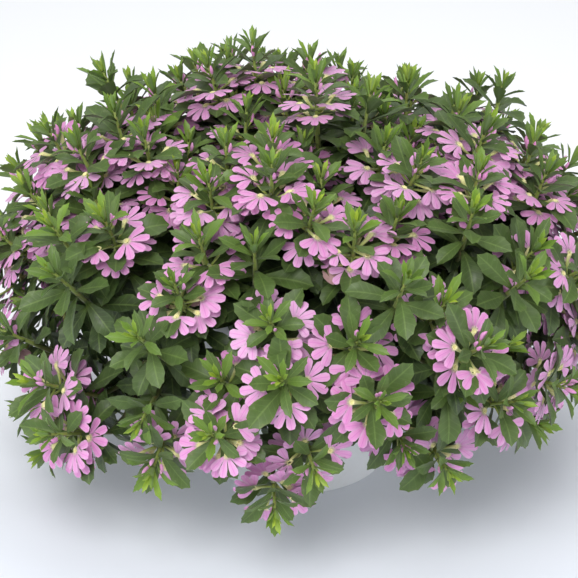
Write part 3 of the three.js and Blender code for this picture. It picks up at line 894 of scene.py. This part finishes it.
def grow_blooms(growth, head, count, throat):
    """The fans of one ring in the places of the CAD plan, with lower, faded and younger ones between."""
    chance = np.random.default_rng(BLOOM_SEED + head["key"])
    axis = head["axis"]
    turned = UP.rotation_difference(axis) @ Quaternion(UP, 2 * math.pi * draw(head["key"], 98))
    tone = chance.uniform(0, 0.6)

    def fan(bearing, reach, rise, pitch, size, variant, faded=0.0):
        outward = turned @ at_bearing(1, bearing, 0)
        place = head["centre"] + axis * rise + outward * reach
        face = axis + turned @ at_bearing(chance.uniform(0, 0.25), chance.uniform(0, 360), 0)
        shade = tone + chance.uniform(0, 0.35) + faded
        growth.sprout(place, outward + axis * pitch, face, size, shade, variant)

    for i in range(count):
        bearing = 360 * i / count
        pitch = math.sin(math.radians(wander(head["key"] + 60 * i, 93, 24)))
        rise = THROAT_RISE + chance.uniform(-1, 1)
        fan(bearing, throat, rise, pitch, chance.uniform(0.95, 1.03), int(chance.choice(FANS)))
        # A second bloom lower on the stem, looking further out
        if chance.uniform() < LOWER_SHARE:
            fan(
                bearing + 180 / count + chance.uniform(-14, 14), throat * 0.95, -chance.uniform(3, 8),
                -chance.uniform(0.1, 0.5), chance.uniform(0.85, 1.0), int(chance.choice(FANS)),
            )
    if chance.uniform() < FADED_SHARE:
        fan(chance.uniform(0, 360), throat * 0.8, -chance.uniform(9, 15), -0.5, 0.85, FADED, 1.2)
    if chance.uniform() < EXTRA_SHARE:
        place = chance.uniform(0, 360)
        fan(place, throat * 0.9, -chance.uniform(5, 10), -0.3, 0.95, int(chance.choice(FANS)))
    for n in range(int(chance.integers(1, 4))):
        fan(chance.uniform(0, 360), 1.5, chance.uniform(6, 11), 0.6, chance.uniform(0.6, 0.9), BUD)


GROWING = growing_tree()
LEAF, STALK = leaf_material(), stalk_material()
PETAL_SKIN, THROAT = petal_material(), throat_material()

# Stations, arch, fold, wave and twist of each leaf, in the order of YOUNG, SLENDER, GROWN and OLD
LEAF_FORMS = [
    (LEAF_YOUNG, 0.35, 0.45, 0.05, 0.0),
    (LEAF_YOUNG, -0.25, 0.5, 0.0, 0.2),
    (LEAF_YOUNG, 0.1, 0.35, 0.08, -0.25),
    (LEAF_SLENDER, 0.5, 0.4, 0.08, 0.15),
    (LEAF_SLENDER, 0.2, 0.3, 0.1, -0.25),
    (LEAF_SLENDER, 0.85, 0.35, 0.06, 0.2),
    (LEAF_GROWN, 0.7, 0.3, 0.1, 0.15),
    (LEAF_GROWN, 0.35, 0.2, 0.15, -0.2),
    (LEAF_GROWN, 1.0, 0.35, 0.08, 0.3),
    (LEAF_GROWN, 0.1, 0.25, 0.12, -0.1),
    (LEAF_OLD, 0.6, 0.2, 0.1, 0.2),
    (LEAF_OLD, 0.9, 0.3, 0.15, -0.3),
]
# Cup, recurve, ruffle and gather of each fan, in the order of FANS and FADED
FAN_FORMS = [
    (0.12, 0.16, 0.1, 1.0),
    (0.22, 0.26, 0.14, 0.95),
    (0.02, 0.05, 0.12, 1.06),
    (0.28, 0.2, 0.16, 0.86),
    (0.7, 0.9, 0.35, 0.35),
]
LEAF_SHAPES = shape_collection(
    "leaves", [leaf_shape(f"leaf_{i:02}", *form) for i, form in enumerate(LEAF_FORMS)]
)
BLOOM_SHAPES = shape_collection(
    "blooms",
    [bud_shape("bloom_0"), *(fan_shape(f"bloom_{i}", *form) for i, form in enumerate(FAN_FORMS, 1))],
)


def choose_blooms(heads):
    """Marks the heads whose ring of blooms is in the CAD model, in the way that its plan does."""
    chosen = []
    for head in sorted(heads, key=lambda head: draw(head["key"], 95)):
        apart = all((other["centre"] - head["centre"]).length > RING_SPACING for other in chosen)
        if apart and len(chosen) < HEADS_IN_BLOOM:
            head["in_solids"] = True
            chosen.append(head)


def leafy_piece(kind, number, heads):
    """The shoots of some heads with their leaves, as one piece."""
    growth = Growth()
    for head in heads:
        grow_shoot(growth, head)
    name, seed = f"{kind}_{number}", PIECE_SEEDS[kind] + number - 1
    return growth.grow(name, LEAF_SHAPES, (LEAF, LEAF, STALK), seed)


def blooming_piece(kind, number, heads):
    """The blooms round some heads, as one piece."""
    growth = Growth()
    for head in heads:
        many = head["in_solids"] and draw(head["key"], 91) < SHARE_OF_MANY
        grow_blooms(growth, head, **(FANS_OF_MANY if many else FANS_OF_A_FEW))
    name, seed = f"{kind}_{number}", PIECE_SEEDS[kind] + number - 1
    return growth.grow(name, BLOOM_SHAPES, (PETAL_SKIN, THROAT, STALK), seed)


def build_crown(stems):
    """Every stem with its leaves in place of its CAD node, and every ring of blooms in place of its own."""
    heads = [head for stem in stems for head in stem["heads"]]
    side_heads = [head for stem in stems for head in stem["side"]]
    for key, head in enumerate(heads + side_heads):
        head["key"] = key
        head["in_solids"] = False
    choose_blooms(heads)
    for number, stem in enumerate(stems, 1):
        place_piece(leafy_piece("stem", number, stem["heads"]), f"leafy_stem_{number}")
        place_piece(leafy_piece("side_shoots", number, stem["side"]))
        others = [head for head in stem["heads"] + stem["side"] if not head["in_solids"]]
        others = [head for head in others if draw(head["key"], 94) < SHARE_IN_BLOOM_BETWEEN]
        place_piece(blooming_piece("side_fans", number, others))
    rings = [head for head in heads if head["in_solids"]]
    for number, head in enumerate(rings, 1):
        place_piece(blooming_piece("fans", number, [head]), f"bloom_ring_{number}")


def place_piece(piece, replaced=None):
    """Attaches a piece to the body that carries it, and hides the CAD node that it replaces, if any."""
    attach(piece, "root")
    if replaced:
        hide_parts(replaced)


def pot_radius(height):
    """Outer radius of the pot's wall at a height."""
    share = min(height / (POT_HEIGHT - RIM_BAND), 1)
    return POT_BASE_RADIUS + (POT_RIM_RADIUS - RIM_STEP - POT_BASE_RADIUS) * share


def build_pot():
    """The pot turned round and smooth, with rounded rims, and its drain holes cut through."""
    foot, top, band = POT_BASE_RADIUS, POT_HEIGHT, POT_HEIGHT - RIM_BAND
    outer, inner = POT_RIM_RADIUS, POT_RIM_RADIUS - POT_WALL - RIM_STEP / 2
    # Radius and height, from the middle of the base up the outside, over the rim and down the inside
    profile = [
        (0, 0), (foot - 5, 0), (foot - 1, 0), (foot - 0.3, 0.4), (foot + 0.1, 1.2),
        (pot_radius(40), 40), (pot_radius(80), 80), (pot_radius(band), band),
        (outer - 0.4, band), (outer, band + 0.5), (outer, top - 1), (outer - 0.4, top - 0.25),
        (outer - 1, top), (inner + 0.6, top), (inner + 0.1, top - 0.4), (inner, top - 1),
        (pot_radius(band) - POT_WALL, band - 1), (pot_radius(40) - POT_WALL, 40),
        (pot_radius(POT_FLOOR) - POT_WALL, POT_FLOOR), (0, POT_FLOOR),
    ]
    sides = 4 * POT_SIDES
    verts, faces = [], []
    for radius, height in profile:
        if radius == 0:
            verts.append(Vector((0, 0, height)) * MM)
        else:
            verts += [at_bearing(radius, 360 * s / sides, height) * MM for s in range(sides)]
    last = 1 + sides * (len(profile) - 2)
    for s in range(sides):
        t = (s + 1) % sides
        faces.append((0, 1 + t, 1 + s))
        faces.append((last, last - sides + s, last - sides + t))
        for row in range(len(profile) - 3):
            a = 1 + sides * row
            faces.append((a + s, a + t, a + sides + t, a + sides + s))
    mesh = bpy.data.meshes.new("pot_shell")
    mesh.from_pydata(verts, [], faces)
    pot = bpy.data.objects.new("pot_shell", mesh)
    show(pot)
    cutters = bmesh.new()
    for i in range(DRAIN_HOLES):
        at = at_bearing(DRAIN_CIRCLE, 360 * i / DRAIN_HOLES, POT_FLOOR / 2) * MM
        bmesh.ops.create_cone(
            cutters, cap_ends=True, segments=32, radius1=DRAIN_RADIUS * MM, radius2=DRAIN_RADIUS * MM,
            depth=3 * POT_FLOOR * MM, matrix=Matrix.Translation(at),
        )
    holes = bpy.data.meshes.new("drain_holes")
    cutters.to_mesh(holes)
    cutters.free()
    cutter = bpy.data.objects.new("drain_holes", holes)
    show(cutter)
    cut = pot.modifiers.new("drain", "BOOLEAN")
    cut.object = cutter
    cut.operation = "DIFFERENCE"
    cut.solver = "EXACT"
    sight = bpy.context.evaluated_depsgraph_get()
    made = bpy.data.meshes.new_from_object(pot.evaluated_get(sight), depsgraph=sight)
    pot.modifiers.clear()
    pot.data = made
    bpy.data.objects.remove(cutter)
    made.materials.clear()
    made.materials.append(pot_material())
    made.set_sharp_from_angle(angle=math.radians(40))
    made.polygons.foreach_set("use_smooth", [True] * len(made.polygons))
    place_piece(pot, "pot")


def dress_soil():
    """The CAD soil keeps its shape and gets the finer material."""
    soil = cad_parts["soil"]
    soil.data.materials.clear()
    soil.data.materials.append(soil_material())


# Stage, light and camera


def floor_material():
    """Matt studio paper with painted shade: pale blue-grey near the camera, fading to white behind."""
    material, tree, shader, place = start_material("studio_paper")
    depth = add(tree, "ShaderNodeSeparateXYZ", (place,)).outputs["Y"]
    # Paper fibres, drawn 1.5 mm coarse
    fibres = add(tree, "ShaderNodeTexNoise", {"Vector": place, "Scale": wide(1.5)})
    # Painted shade: the paper is painted blue-grey towards the camera and white behind, where it is more
    # brightly lit
    fill(tree, shader, {
        "Base Color": painted(tree, "#E6EBF4", [((depth, -0.35, 0.55, 0.0, 1.0), "#FCFDFE")]),
        "Roughness": 0.9,
        "Normal": add(tree, "ShaderNodeBump", {"Strength": 0.2, "Distance": 0.02 * MM, "Height": fibres}),
        "IOR": 1.4,
    })
    return material


def build_stage():
    """A wide plain floor."""
    mesh = bpy.data.meshes.new("floor")
    mesh.from_pydata([(-4, -3, 0), (4, -3, 0), (4, 4, 0), (-4, 4, 0)], [], [(0, 1, 2, 3)])
    floor = bpy.data.objects.new("floor", mesh)
    floor.data.materials.append(floor_material())
    show(floor)


def add_light(name, place, target, size, watts, colour="#FFFFFF"):
    """A round softbox at a place that looks at its target."""
    light = bpy.data.lights.new(name, "AREA")
    light.shape = "DISK"
    light.size = size
    light.energy = watts
    light.color = linear(colour)[:3]
    lamp = bpy.data.objects.new(name, light)
    lamp.location = place
    lamp.rotation_euler = (Vector(target) - Vector(place)).to_track_quat("-Z", "Y").to_euler()
    show(lamp)


def light_studio():
    """A pale surround and five softboxes, the strongest in front and above."""
    world = bpy.data.worlds.new("studio")
    world.use_nodes = True
    background = world.node_tree.nodes["Background"]
    background.inputs["Color"].default_value = linear("#F4F8FF")
    background.inputs["Strength"].default_value = 0.45
    bpy.context.scene.world = world
    add_light("front_softbox", (-0.35, -1.45, 1.55), (0, 0, 0.1), 1.2, 31, "#FFFEFC")
    add_light("left_softbox", (-1.5, -0.8, 0.6), (0, 0, 0.05), 1.0, 9)
    add_light("right_softbox", (1.5, -0.8, 0.6), (0, 0, 0.05), 1.0, 9)
    add_light("overhead_softbox", (0.1, 0.1, 1.5), (0, 0, 0.1), 1.2, 4)
    add_light("background_softbox", (0, 1.2, 1.4), (0, 1.1, 0), 1.2, 6)


def place_camera():
    """The photograph's view: 25 degrees down on the plant from the front, from 1.5 m away."""
    camera = bpy.data.objects.new("camera", bpy.data.cameras.new("camera"))
    camera.data.lens = 136.4
    camera.data.sensor_width = 36
    elevation = math.radians(25)
    target = Vector((-5.5, 0, 126)) * MM
    ahead = Vector((0, math.cos(elevation), -math.sin(elevation)))
    camera.location = target - ahead * 1.5
    camera.rotation_euler = ahead.to_track_quat("-Z", "Y").to_euler()
    camera.data.clip_end = 20
    show(camera)
    bpy.context.scene.camera = camera
    bpy.context.scene.view_settings.view_transform = "Standard"


build_pot()
dress_soil()
crown = plan_stems()
plan_side_shoots(crown)
build_crown(crown)
build_stage()
light_studio()
place_camera()
